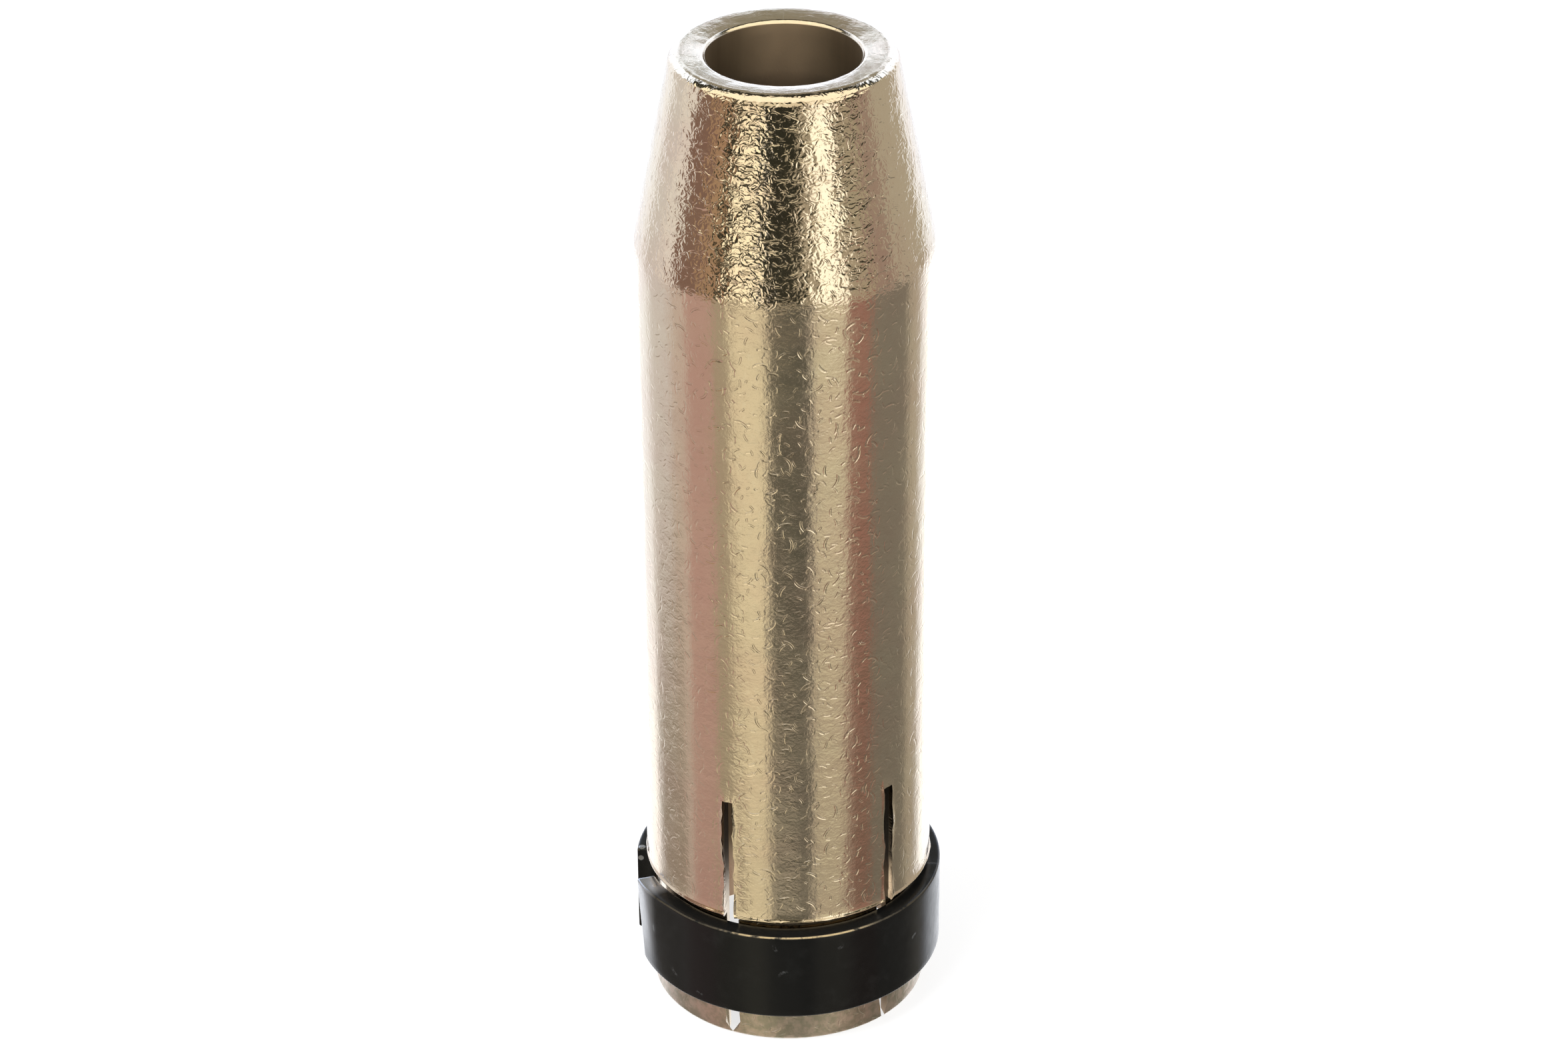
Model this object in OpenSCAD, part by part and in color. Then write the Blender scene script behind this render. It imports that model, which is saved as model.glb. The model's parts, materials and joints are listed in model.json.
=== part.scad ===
// Conical gas nozzle of a wire-feed welding gun: a tube with a necked front, slotted
// at the rear so that it springs onto the gun, and a split clamp ring in a groove
// round the slotted tail. Millimetres. The origin is the centre of the rear end face
// and +Z points to the gas outlet.

/* [Tube] */
// Outside diameter of the straight tube
body_d = 24; // [21:0.5:32]
// Overall length, rear face to front face
body_len = 85.5; // [72:0.5:120]
// Length of the cone that ends at the front face
cone_len = 16; // [10:0.1:24]
// Radius of the soft bend between tube and cone
shoulder_r = 6; // [2:0.5:12]

/* [Front] */
// Diameter of the gas outlet
outlet_d = 12.2; // [9:0.1:14]
// Wall round the outlet, measured at the front face
tip_wall = 2.75; // [1.6:0.05:3.2]
// Rounding of the front face's outer edge
tip_edge_r = 0.5; // [0.1:0.05:0.7]
// Rounding of the outlet's mouth
outlet_edge_r = 0.4; // [0.1:0.05:0.7]
// Length of the straight outlet behind its rounded mouth
land_len = 5; // [2:0.5:6]
// Length of the inner taper from the chamber to the outlet
throat_len = 10; // [6:0.5:12]

/* [Rear] */
// Wall of the rear socket, measured from the straight tube's outside
socket_wall = 1.25; // [1.2:0.05:2.4]
// Depth of the rear socket, up to the step that the gun's neck seats on
socket_depth = 32; // [28:0.5:40]
// Wall of the chamber ahead of that step
chamber_wall = 2.5; // [2.5:0.05:3.2]
// Chamfer that leads the gun's neck into the socket
lead_in = 0.25; // [0.1:0.05:0.35]

/* [Groove] */
// Height of the lip between the groove and the rear face
lip_h = 3.2; // [2:0.1:5]
// How far the lip lies below the straight tube's surface
lip_step = 0.45; // [0.2:0.05:0.5]
// Rounding of the lip's rear edge
lip_edge_r = 0.2; // [0.05:0.05:0.25]
// Width of the groove along the tube
groove_w = 8.8; // [8.2:0.05:12]
// Depth of the groove below the straight tube's surface
groove_depth = 0.75; // [0.7:0.05:0.9]

/* [Slots] */
// Number of saw cuts through the tail
slot_count = 5; // [3:1:8]
// Width of each saw cut
slot_w = 1.05; // [0.5:0.05:2]
// How far the saw cuts run up from the rear face
slot_len = 23.5; // [18:0.1:27]
// Direction of the first saw cut
slot_dir = -114.5; // [-180:0.5:180]
// Turn from the first saw cut to the second; the others share the rest evenly
slot_near = 68; // [40:0.5:80]

/* [Clamp ring] */
// Height of the ring along the tube
ring_h = 8.05; // [5:0.05:8.6]
// Thickness of the ring's band
ring_t = 1.6; // [0.8:0.05:2.5]
// Width of the split in the ring
ring_gap = 4.3; // [0.4:0.1:6]
// Direction of the split
ring_dir = 187.5; // [0:0.5:360]
// Bevel along the ring's edges
ring_bevel = 0.2; // [0.05:0.05:0.3]

/* [Fits] */
// Radial clearance between the ring and the floor of its groove
ring_play = 0.08; // [0.02:0.01:0.1]
// Clearance under the ring where it rests on the lip
ring_seat = 0.05; // [0.02:0.01:0.1]

/* [Hidden] */
$fn = 96;

// Sections of the tube
body_r = body_d / 2;
outlet_r = outlet_d / 2;
tip_r = outlet_r + tip_wall;
socket_r = body_r - socket_wall;
chamber_r = body_r - chamber_wall;
lip_r = body_r - lip_step;
floor_r = body_r - groove_depth;
edge_break = 0.12;
arc_steps = 6;

// Heights above the rear face
groove_z = lip_h;
groove_top = groove_z + groove_w;
cone_z = body_len - cone_len;
land_z = body_len - outlet_edge_r - land_len;
throat_z = land_z - throat_len;

// The cone leans in by cone_a; its bend and its front edge are tangent arcs
cone_a = atan((body_r - tip_r) / cone_len);
bend_z = cone_z - shoulder_r * tan(cone_a / 2);
edge_z = body_len - tip_edge_r;
edge_r = body_r - (tip_edge_r + (edge_z - cone_z) * sin(cone_a)) / cos(cone_a);

// Sections of the ring
ring_z = groove_z + ring_seat;
ring_in_r = floor_r + ring_play;
ring_out_r = ring_in_r + ring_t;

// Cuts run past the faces that they open by this much
over = 1;

// Points of an arc about [x, y] from angle a to angle b
function arc(x, y, r, a, b) = [
    for (i = [0 : arc_steps])
        let (t = a + (b - a) * i / arc_steps)
            [x + r * cos(t), y + r * sin(t)]
];

// Half section of the tube: rear face, lip, groove, straight tube, cone, front edge,
// outlet, inner taper, chamber, socket
tube_section = concat(
    [[socket_r + lead_in, 0]],
    arc(lip_r - lip_edge_r, lip_edge_r, lip_edge_r, -90, 0),
    [
        [lip_r, groove_z - edge_break],
        [lip_r - edge_break, groove_z],
        [floor_r, groove_z],
        [floor_r, groove_top],
        [body_r - edge_break, groove_top],
        [body_r, groove_top + edge_break]
    ],
    arc(body_r - shoulder_r, bend_z, shoulder_r, 0, cone_a),
    arc(edge_r, edge_z, tip_edge_r, cone_a, 90),
    arc(outlet_r + outlet_edge_r, body_len - outlet_edge_r, outlet_edge_r, 90, 180),
    [
        [outlet_r, land_z],
        [chamber_r, throat_z],
        [chamber_r, socket_depth],
        [socket_r, socket_depth],
        [socket_r, lead_in]
    ]
);

// Section of the ring's band, bevelled along its edges
ring_section = [
    [ring_in_r + ring_bevel, ring_z],
    [ring_out_r - ring_bevel, ring_z],
    [ring_out_r, ring_z + ring_bevel],
    [ring_out_r, ring_z + ring_h - ring_bevel],
    [ring_out_r - ring_bevel, ring_z + ring_h],
    [ring_in_r + ring_bevel, ring_z + ring_h],
    [ring_in_r, ring_z + ring_h - ring_bevel],
    [ring_in_r, ring_z + ring_bevel]
];

// A square-ended cut through one wall, from the axis outwards, between two heights
module wall_cut(width, z_from, z_to) {
    translate([0, -width / 2, z_from])
        cube([body_d, width, z_to - z_from]);
}

// Turn from the first saw cut to cut number i
function slot_turn(i) = i == 0 ? 0 : slot_near + (i - 1) * (360 - slot_near) / (slot_count - 1);

module saw_cuts() {
    for (i = [0 : slot_count - 1])
        rotate(slot_dir + slot_turn(i))
            wall_cut(slot_w, -over, slot_len);
}

module nozzle_body() {
    color([0.72, 0.66, 0.54])
        difference() {
            rotate_extrude()
                polygon(tube_section);
            saw_cuts();
        }
}

module clamp_ring() {
    color([0.10, 0.10, 0.11])
        difference() {
            rotate_extrude()
                polygon(ring_section);
            rotate(ring_dir)
                wall_cut(ring_gap, ring_z - over, ring_z + ring_h + over);
        }
}

nozzle_body();
clamp_ring();
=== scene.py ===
"""Looks of a conical welding gas nozzle and its split clamp ring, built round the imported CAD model."""

import json
import math

import bpy
from mathutils import Matrix, Vector, noise


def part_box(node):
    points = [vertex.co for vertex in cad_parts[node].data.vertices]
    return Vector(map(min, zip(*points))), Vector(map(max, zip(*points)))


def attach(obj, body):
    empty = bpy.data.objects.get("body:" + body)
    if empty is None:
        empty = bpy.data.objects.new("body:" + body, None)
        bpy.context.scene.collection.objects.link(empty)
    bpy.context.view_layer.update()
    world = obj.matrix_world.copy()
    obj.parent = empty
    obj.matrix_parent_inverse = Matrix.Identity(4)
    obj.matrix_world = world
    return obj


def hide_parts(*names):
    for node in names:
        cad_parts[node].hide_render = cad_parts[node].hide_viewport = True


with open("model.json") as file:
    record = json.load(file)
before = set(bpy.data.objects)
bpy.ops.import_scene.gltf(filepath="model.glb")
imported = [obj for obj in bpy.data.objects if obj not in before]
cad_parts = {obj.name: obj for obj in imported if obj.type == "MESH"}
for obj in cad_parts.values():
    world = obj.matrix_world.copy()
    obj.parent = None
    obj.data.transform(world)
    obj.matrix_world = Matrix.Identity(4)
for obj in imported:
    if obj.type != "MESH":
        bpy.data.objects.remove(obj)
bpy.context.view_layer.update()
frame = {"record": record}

MM = 0.001

# ---------------------------------------------------------------- sizes, in millimetres
# Outer sizes and the socket come from the frame, and the rest are the real piece's own sizes.
BODY_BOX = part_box("nozzle_body")
RING_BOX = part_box("clamp_ring")
SOCKET = next(m for m in frame["record"]["mounts"] if m["name"] == "rear_socket")

BODY_R = BODY_BOX[1].x / MM
BODY_LEN = BODY_BOX[1].z / MM
SOCKET_R = SOCKET["dims"]["r_mm"]
LEAD_IN = SOCKET["pos_m"][2] / MM
SOCKET_DEPTH = LEAD_IN + SOCKET["dims"]["length_mm"]
CHAMBER_WALL = 2.5
CHAMBER_R = BODY_R - CHAMBER_WALL

CONE_LEN = 16.0
CONE_Z = BODY_LEN - CONE_LEN
SHOULDER_R = 6.0
OUTLET_R = 6.1
TIP_WALL = 2.75
TIP_R = OUTLET_R + TIP_WALL
RIM_CREST_R = 8.05
RIM_LEAN = 3.0
RIM_SLOPE_R = 13.0
RIM_OUTER_DROP = 0.7
MOUTH_EDGE_R = 0.38
OUTLET_EDGE_R = 0.4
LAND_LEN = 5.0
THROAT_LEN = 10.0

LIP_H = 3.2
LIP_STEP = 0.45
LIP_R = BODY_R - LIP_STEP
LIP_EDGE_R = 0.2
GROOVE_DEPTH = 0.75
GROOVE_W = 8.8
FLOOR_R = BODY_R - GROOVE_DEPTH
GROOVE_TOP = LIP_H + GROOVE_W
EDGE_BREAK = 0.12
BEAD_W = 0.42
BEAD_H = 0.09

SLOTS = 5
SLOT_W = 1.05
SLOT_LEN = 23.5
SLOT_DIR = math.radians(-114.5)
SLOT_NEAR = math.radians(68)
SLOT_REST = (2 * math.pi - SLOT_NEAR) / (SLOTS - 1)
SLOT_TURNS = (0.0,) + tuple(SLOT_NEAR + SLOT_REST * i for i in range(SLOTS - 1))

# The sawn edges: how far burrs draw each of a slot's two edges inward all along, how far the notch in
# the lip sets each edge of the first slot outward, and the least width that is left between two.
# The two front slots also have burrs at the lip's foot, as (how far each draws its edge inward, the
# height of its top), which fade over the last LIP_BURR_FADE of that height.
SLOT_DRAWN = 0.06
LIP_NOTCH = 0.20
SLOT_LEAST = 0.04
LIP_BURRS = ((0.60, 0.7), (0.25, 0.8))
LIP_BURR_FADE = 0.4

# An edge's shift moves the tube's surface too, wholly up to EDGE_FULL from the edge and not at all
# from EDGE_REACH on. Above the slot's end it fades over EDGE_FADE, and raised burrs stop at
# BURR_PAST_END above that end.
EDGE_FULL = 0.05
EDGE_REACH = 0.3
EDGE_FADE = 1.0
BURR_PAST_END = 0.4

RING_BOTTOM = RING_BOX[0].z / MM
RING_TOP = RING_BOX[1].z / MM
RING_OUT_R = RING_BOX[1].y / MM
RING_PLAY = 0.08
RING_IN_R = FLOOR_R + RING_PLAY
RING_GAP = 4.3
RING_DIR = math.radians(187.5)
RING_BEVEL = 0.2
RING_FLARE = 0.5
RING_FLARE_TURN = math.radians(26)
RING_END_STEPS = (0.0, 0.04, 0.1, 0.18, 0.28, 0.38)
RING_END_COLUMNS = 5
RING_END_REACH = 0.18
RING_END_ROUNDING = 0.12
RING_MIDDLE_COLUMNS = 250
OUTER_KINDS = ("face", "edge", "top_edge")

# ---------------------------------------------------------------- camera, in millimetres and degrees
CAMERA_TARGET = Vector((-0.20, 0, 43.57))
CAMERA_DISTANCE = 360.0
CAMERA_ELEVATION = 29.68
CAMERA_ROLL = -0.35
CAMERA_LENS = 101.2

# ---------------------------------------------------------------- mesh densities
SLOT_COLUMNS = 4
EDGE_STEPS = (0.0, 0.06, 0.14, 0.26)
FINGER_COLUMNS = 62
CONE_PITCH = 0.23
TUBE_PITCH = 0.64

# How much of the bake map's height the skins take. The cut faces lie above them.
BODY_MAP_TOP = 0.92
RING_MAP_TOP = 0.9


# ================================================================ small helpers
def wave(point, size, seed):
    """Smooth noise from -1 to 1, with features of about size millimetres."""
    return noise.noise(Vector(point) / size + Vector((seed, 1.7 * seed, 2.3 * seed)))


def smooth_step(low, high, value):
    share = min(max((value - low) / (high - low), 0.0), 1.0)
    return share * share * (3 - 2 * share)


def linked(made):
    bpy.context.scene.collection.objects.link(made)
    return made


def arc(centre_r, centre_z, radius, start, end, steps, kind):
    """Section rows on an arc, without its first point. A row is (radius, height, kind)."""
    rows = []
    for i in range(1, steps + 1):
        turn = math.radians(start + (end - start) * i / steps)
        rows.append((centre_r + radius * math.cos(turn), centre_z + radius * math.sin(turn), kind))
    return rows


def line(r0, z0, r1, z1, pitch, kind):
    """Section rows along a line, without its first point."""
    steps = max(1, round(math.hypot(r1 - r0, z1 - z0) / pitch))
    rows = []
    for i in range(1, steps + 1):
        rows.append((r0 + (r1 - r0) * i / steps, z0 + (z1 - z0) * i / steps, kind))
    return rows


# ================================================================ the nozzle's mesh
def rear_rows():
    """From the socket's mouth over the rear face, the lip and the groove to the tube's lower edge."""
    rows = [(SOCKET_R + LEAD_IN, 0.0, "rear")]
    rows += line(SOCKET_R + LEAD_IN, 0, LIP_R - LIP_EDGE_R, 0, 0.3, "rear")
    rows += arc(LIP_R - LIP_EDGE_R, LIP_EDGE_R, LIP_EDGE_R, -90, 0, 4, "lip")
    rows += line(LIP_R, LIP_EDGE_R, LIP_R, LIP_H - EDGE_BREAK, 0.35, "lip")
    rows += line(LIP_R, LIP_H - EDGE_BREAK, LIP_R - EDGE_BREAK, LIP_H, 0.2, "groove")
    rows += line(LIP_R - EDGE_BREAK, LIP_H, FLOOR_R, LIP_H, 0.2, "groove")
    rows += line(FLOOR_R, LIP_H, FLOOR_R, GROOVE_TOP, 1.3, "groove")
    rows += line(FLOOR_R, GROOVE_TOP, BODY_R - EDGE_BREAK, GROOVE_TOP, 0.3, "groove")
    rows += line(BODY_R - EDGE_BREAK, GROOVE_TOP, BODY_R, GROOVE_TOP + EDGE_BREAK, 0.09, "tube")
    return rows


def front_rows():
    """Up the tube, round its soft bend and up the cone to where the rim's rounding starts."""
    lean = math.atan((BODY_R - TIP_R) / CONE_LEN)
    bend_z = CONE_Z - SHOULDER_R * math.tan(lean / 2)
    bead_z = GROOVE_TOP + EDGE_BREAK + BEAD_W
    rows = line(BODY_R, GROOVE_TOP + EDGE_BREAK, BODY_R, bead_z, 0.06, "tube")
    rows += line(BODY_R, bead_z, BODY_R, SLOT_LEN, TUBE_PITCH, "tube")
    rows += line(BODY_R, SLOT_LEN, BODY_R, bend_z, TUBE_PITCH, "tube")
    rows += arc(BODY_R - SHOULDER_R, bend_z, SHOULDER_R, 0, math.degrees(lean), 5, "cone")
    rim_z = BODY_LEN - RIM_OUTER_DROP
    rim_r = TIP_R + RIM_OUTER_DROP * math.tan(lean)
    rows += line(rows[-1][0], rows[-1][1], rim_r, rim_z, CONE_PITCH, "cone")
    return rows


def rim_rows(outer_r):
    """The rim: an elliptical shoulder up to its crest, then a shallow dish down to the round mouth."""
    rows = []
    shoulder_steps, dish_steps, mouth_steps = 12, 9, 7
    for i in range(1, shoulder_steps + 1):
        turn = math.pi / 2 * i / shoulder_steps
        r = RIM_CREST_R + (outer_r - RIM_CREST_R) * math.cos(turn)
        rows.append((r, BODY_LEN - RIM_OUTER_DROP * (1 - math.sin(turn)), "rim"))
    mouth_r = OUTLET_R + MOUTH_EDGE_R
    for i in range(1, dish_steps + 1):
        inward = (RIM_CREST_R - mouth_r) * i / dish_steps
        drop = inward * math.tan(math.radians(RIM_LEAN)) + inward ** 2 / (2 * RIM_SLOPE_R)
        rows.append((RIM_CREST_R - inward, BODY_LEN - drop, "rim"))
    slope = math.tan(math.radians(RIM_LEAN)) + (RIM_CREST_R - mouth_r) / RIM_SLOPE_R
    lean = math.degrees(math.atan(slope))
    mouth_z = rows[-1][1] - MOUTH_EDGE_R
    mouth = arc(mouth_r, mouth_z, MOUTH_EDGE_R, 90 + lean, 180, mouth_steps, "rim")
    bright = mouth_steps - 2
    rows += mouth[:bright] + [(r, z, "bore") for r, z, kind in mouth[bright:]]
    return rows


def inner_rows(mouth_z):
    """From the outlet back through land, throat, chamber and socket to the socket's mouth."""
    land_z = BODY_LEN - OUTLET_EDGE_R - LAND_LEN
    throat_z = land_z - THROAT_LEN
    rows = line(OUTLET_R, mouth_z, OUTLET_R, land_z, 1.0, "bore")
    rows += line(OUTLET_R, land_z, CHAMBER_R, throat_z, 1.5, "bore")
    rows += line(CHAMBER_R, throat_z, CHAMBER_R, SOCKET_DEPTH, 3.5, "bore")
    rows += line(CHAMBER_R, SOCKET_DEPTH, SOCKET_R, SOCKET_DEPTH, 0.7, "bore")
    rows += line(SOCKET_R, SOCKET_DEPTH, SOCKET_R, SLOT_LEN, 4.0, "bore")
    rows += line(SOCKET_R, SLOT_LEN, SOCKET_R, LEAD_IN, 2.0, "bore")
    return rows


def sector_columns(r, sector):
    """The columns at radius r from one slot to the next, a turn of sector away. Each is (angle,
    distance past the nearest slot edge, which edge: 0 and 1 for this slot's two, 2 for the next
    slot's first). The first columns span the slot, which keeps its width at every radius, and the
    rest cover the finger."""
    half = SLOT_W / 2
    columns = []
    for i in range(1, SLOT_COLUMNS):
        across = half * (2 * i / SLOT_COLUMNS - 1)
        columns.append((math.asin(across / r), abs(across) - half, int(across > 0)))
    near = [(math.asin((half + step) / r), step, 1) for step in EDGE_STEPS]
    far = [(sector - angle, step, 2) for angle, step, edge in reversed(near)]
    first, last = near[-1][0], far[0][0]
    finger = []
    for i in range(1, FINGER_COLUMNS):
        angle = first + (last - first) * i / FINGER_COLUMNS
        finger.append((angle, r * min(angle, sector - angle) - half, 1 + int(2 * angle > sector)))
    return [(-near[0][0], 0.0, 0)] + columns + near + finger + far[:-1]


def cone_share(z):
    """1 on the crinkled cone, 0 on the smoother tube and rim."""
    return smooth_step(CONE_Z - 1.2, CONE_Z, z) * (1 - smooth_step(BODY_LEN - 1.4, BODY_LEN - 0.6, z))


def surface_offset(x, y, z, kind, gap):
    """How far the real surface stands off its ideal section, in millimetres."""
    spot = (x, y, z)
    if kind in ("rear", "groove"):
        return 0.0
    if kind == "bore":
        return 0.02 * wave(spot, 2.5, 11)
    soft = 0.012 * wave((x, y, z * 0.35), 5.0, 3) + 0.004 * wave(spot, 1.6, 7)
    if kind == "lip":
        return 0.5 * soft - 0.01 + 0.012 * wave(spot, 0.9, 9)
    crinkle = 0.0
    cone = cone_share(z)
    if cone > 0:
        crinkle = 0.020 * wave(spot, 1.3, 5) + 0.016 * wave(spot, 0.6, 17)
    if kind == "rim":
        dented = 0.35 + 0.65 * smooth_step(RIM_CREST_R, RIM_CREST_R + 0.5, math.hypot(x, y))
        return -0.05 + dented * (0.034 * wave(spot, 1.6, 21) + 0.020 * wave(spot, 0.7, 23))
    burr = 0.0
    if kind == "tube" and z < SLOT_LEN + BURR_PAST_END and gap < EDGE_REACH:
        raised = max(0.0, wave(spot, 0.5, 31) + 0.25)
        burr = 0.16 * raised * (1 - smooth_step(0.0, 0.24, gap))
    rise = (z - GROOVE_TOP - EDGE_BREAK) / BEAD_W
    if kind == "tube" and 0 < rise < 1:
        burr += BEAD_H * (1 + 0.7 * wave(spot, 1.5, 37)) * math.sin(math.pi * rise ** 0.6) ** 2
    return soft + cone * crinkle + burr


def edge_shift(z, kind, gap, side):
    """How far a slot's sawn edge wanders along the tube's surface, in millimetres. side is even on one
    edge of a slot and odd on the other. Burrs draw the two together, most of all at the foot of the
    front slots, the notch in the lip sets the first slot's apart, and they never meet."""
    if kind not in ("tube", "lip") or z > SLOT_LEN + EDGE_FADE or gap > EDGE_REACH:
        return 0.0
    inward = 1 - 2 * (side % 2)
    ragged = 0.10 * wave((side * 4.0, 0.0, z), 1.5, 41) + 0.16 * wave((side * 4.0, 2.0, z), 0.45, 43)
    ragged += SLOT_DRAWN * inward
    if kind == "lip" and side < 2:
        ragged -= LIP_NOTCH * inward
    if kind == "lip" and side < 2 * len(LIP_BURRS):
        drawn, top = LIP_BURRS[side // 2]
        ragged += drawn * inward * (1 - smooth_step(top - LIP_BURR_FADE, top, z))
    closed = (SLOT_W - SLOT_LEAST) / 2
    ragged = min(max(ragged, -closed), closed)
    near_edge = 1 - smooth_step(EDGE_FULL, EDGE_REACH, gap)
    below_end = 1 - smooth_step(SLOT_LEN, SLOT_LEN + EDGE_FADE, z)
    return ragged * near_edge * below_end


def row_normals(rows):
    """Outward unit normals (radial, axial) of the closed section."""
    normals = []
    for i in range(len(rows)):
        before, after = rows[i - 1], rows[(i + 1) % len(rows)]
        out = Vector((after[1] - before[1], before[0] - after[0])).normalized()
        normals.append(out)
    return normals


def body_points(rows):
    """The grid's points, row by row, each moved off the ideal section by its offset and edge shift."""
    points = []
    for (r, z, kind), normal in zip(rows, row_normals(rows)):
        for slot in range(SLOTS):
            for angle, gap, edge in sector_columns(r, SLOT_REST if slot else SLOT_NEAR):
                side = (2 * slot + edge) % (2 * SLOTS)
                turn = SLOT_DIR + SLOT_TURNS[slot] + angle + edge_shift(z, kind, gap, side) / r
                x, y = r * math.cos(turn), r * math.sin(turn)
                off = surface_offset(x, y, z, kind, gap)
                away = r + off * normal[0]
                points.append((away * math.cos(turn), away * math.sin(turn), z + off * normal[1]))
    return points


def section_rows():
    """All rows of the closed section, and how many of them come before the outlet."""
    rows = rear_rows() + front_rows()
    rows += rim_rows(rows[-1][0])
    return rows + inner_rows(rows[-1][1]), len(rows)


def section_lengths(rows):
    """How far along the section each row is, and at the end the whole way round."""
    lengths = [0.0]
    for i, here in enumerate(rows):
        there = rows[(i + 1) % len(rows)]
        lengths.append(lengths[-1] + math.hypot(here[0] - there[0], here[1] - there[1]))
    return lengths


def is_slotted(row):
    """Whether the slots run through this row of the section."""
    return row[1] <= SLOT_LEN + 1e-6


def grid_faces(rows, sector_count, at):
    """The faces between the rows and columns, without those in the slots, and their bake maps."""
    columns = SLOTS * sector_count
    lengths = section_lengths(rows)
    faces, maps = [], []
    for i in range(len(rows)):
        open_row = is_slotted(rows[i]) and is_slotted(rows[(i + 1) % len(rows)])
        low = BODY_MAP_TOP * lengths[i] / lengths[-1]
        high = BODY_MAP_TOP * lengths[i + 1] / lengths[-1]
        for j in range(columns):
            if open_row and j % sector_count < SLOT_COLUMNS:
                continue
            faces.append((at(i, j), at(i, j + 1), at(i + 1, j + 1), at(i + 1, j)))
            left, right = j / columns, (j + 1) / columns
            maps.append(((left, low), (right, low), (right, high), (left, high)))
    return faces, maps


def side_map(rows, order, corner):
    """Where a slot's side wall lies on the bake map, from its corner on."""
    spots = []
    for i in order:
        r, z, kind = rows[i]
        spots.append((corner + z / SLOT_LEN * 0.096, 0.93 + (r - SOCKET_R) * 0.02))
    return tuple(spots)


def close_slots(rows, outer_rows, sector_count, at, faces, maps):
    """Add each slot's two side walls and its end strips, and name those faces by their index."""
    outer_end = max(i for i in range(outer_rows) if is_slotted(rows[i]))
    inner_start = min(i for i in range(outer_rows, len(rows)) if is_slotted(rows[i]))
    profile = list(range(inner_start, len(rows))) + list(range(outer_end + 1))
    cuts = {}
    for slot in range(SLOTS):
        first = slot * sector_count
        for side in range(2):
            j = first + side * SLOT_COLUMNS
            order = profile if side else profile[::-1]
            cuts[len(faces)] = "right_cut" if side else "left_cut"
            faces.append(tuple(at(i, j) for i in order))
            maps.append(side_map(rows, order, (2 * slot + side) / (2 * SLOTS)))
        for j in range(first, first + SLOT_COLUMNS):
            cuts[len(faces)] = "end_cut"
            outer, inner = at(outer_end, j), at(inner_start, j)
            next_outer, next_inner = at(outer_end, j + 1), at(inner_start, j + 1)
            faces.append((outer, inner, next_inner, next_outer))
            left = (slot * SLOT_COLUMNS + j - first) / (SLOTS * SLOT_COLUMNS)
            right = left + 0.9 / (SLOTS * SLOT_COLUMNS)
            maps.append(((left, 0.98), (left, 0.995), (right, 0.995), (right, 0.98)))
    return cuts


def body_mesh():
    """The whole nozzle as one closed grid: rows round the section, columns round the axis, with the
    slots left open, their sides closed by flat walls and their ends by short strips."""
    rows, outer_rows = section_rows()
    sector_count = len(sector_columns(BODY_R, SLOT_REST))
    columns = SLOTS * sector_count

    def at(i, j):
        return (i % len(rows)) * columns + j % columns

    faces, maps = grid_faces(rows, sector_count, at)
    cuts = close_slots(rows, outer_rows, sector_count, at, faces, maps)
    kinds = [kind for r, z, kind in rows for j in range(columns)]
    return body_points(rows), faces, maps, kinds, cuts


# ================================================================ the ring's mesh
def ring_rows():
    """The band's section, rounded along its edges."""
    low, high = RING_BOTTOM, RING_TOP
    inner, outer, soft = RING_IN_R, RING_OUT_R, RING_BEVEL
    rows = [(inner + soft, low, "under")]
    rows += line(inner + soft, low, outer - soft, low, 0.4, "under")
    rows += arc(outer - soft, low + soft, soft, -90, 0, 4, "edge")
    rows += line(outer, low + soft, outer, high - soft, 0.45, "face")
    corner = arc(outer - soft, high - soft, soft, 0, 90, 6, "edge")
    rows += corner[:1] + [(r, z, "top_edge") for r, z, kind in corner[1:4]] + corner[4:]
    rows += line(outer - soft, high, inner + soft, high, 0.25, "top")
    rows += arc(inner + soft, high - soft, soft, 90, 180, 3, "inner_edge")
    rows += line(inner, high - soft, inner, low + soft, 1.4, "inside")
    rows += arc(inner + soft, low + soft, soft, 180, 270, 3, "inside")[:-1]
    return rows


def ring_angles():
    """Angles along the band from its near end to its far end, closer together at the ends."""
    half = math.asin(RING_GAP / 2 / RING_OUT_R)
    start, end = RING_DIR + half, RING_DIR + 2 * math.pi - half
    steps = [step / RING_OUT_R for step in RING_END_STEPS]
    first, last = start + steps[-1], end - steps[-1]
    count = RING_MIDDLE_COLUMNS
    middle = [first + (last - first) * i / count for i in range(1, count)]
    return [start + step for step in steps] + middle + [end - step for step in reversed(steps)]


def ring_points(rows, angles):
    """The band's points, a little uneven, rounded at both ends and flared at its near end."""
    centre_r, centre_z = (RING_IN_R + RING_OUT_R) / 2, (RING_BOTTOM + RING_TOP) / 2
    points = []
    for r, z, kind in rows:
        for turn in angles:
            along = RING_OUT_R * min(turn - angles[0], angles[-1] - turn)
            inset = 1 - min(along / RING_END_REACH, 1)
            rounding = RING_END_ROUNDING * (1 - math.sqrt(max(0.0, 1 - inset ** 2)))
            reach = 1 - smooth_step(0, RING_FLARE_TURN, turn - angles[0])
            flare = RING_FLARE * reach * (z - RING_BOTTOM) / (RING_TOP - RING_BOTTOM)
            x, y = r * math.cos(turn), r * math.sin(turn)
            rough = 0.006 * wave((x, y, z), 3.0, 51) + 0.004 * wave((x, y, z), 0.7, 53) - 0.010
            out = rough if kind in OUTER_KINDS else 0.0
            away = r + flare + out - rounding * (r - centre_r) / (RING_OUT_R - centre_r)
            height = z - rounding * (z - centre_z) / (RING_TOP - centre_z)
            points.append((away * math.cos(turn), away * math.sin(turn), height))
    return points


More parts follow.
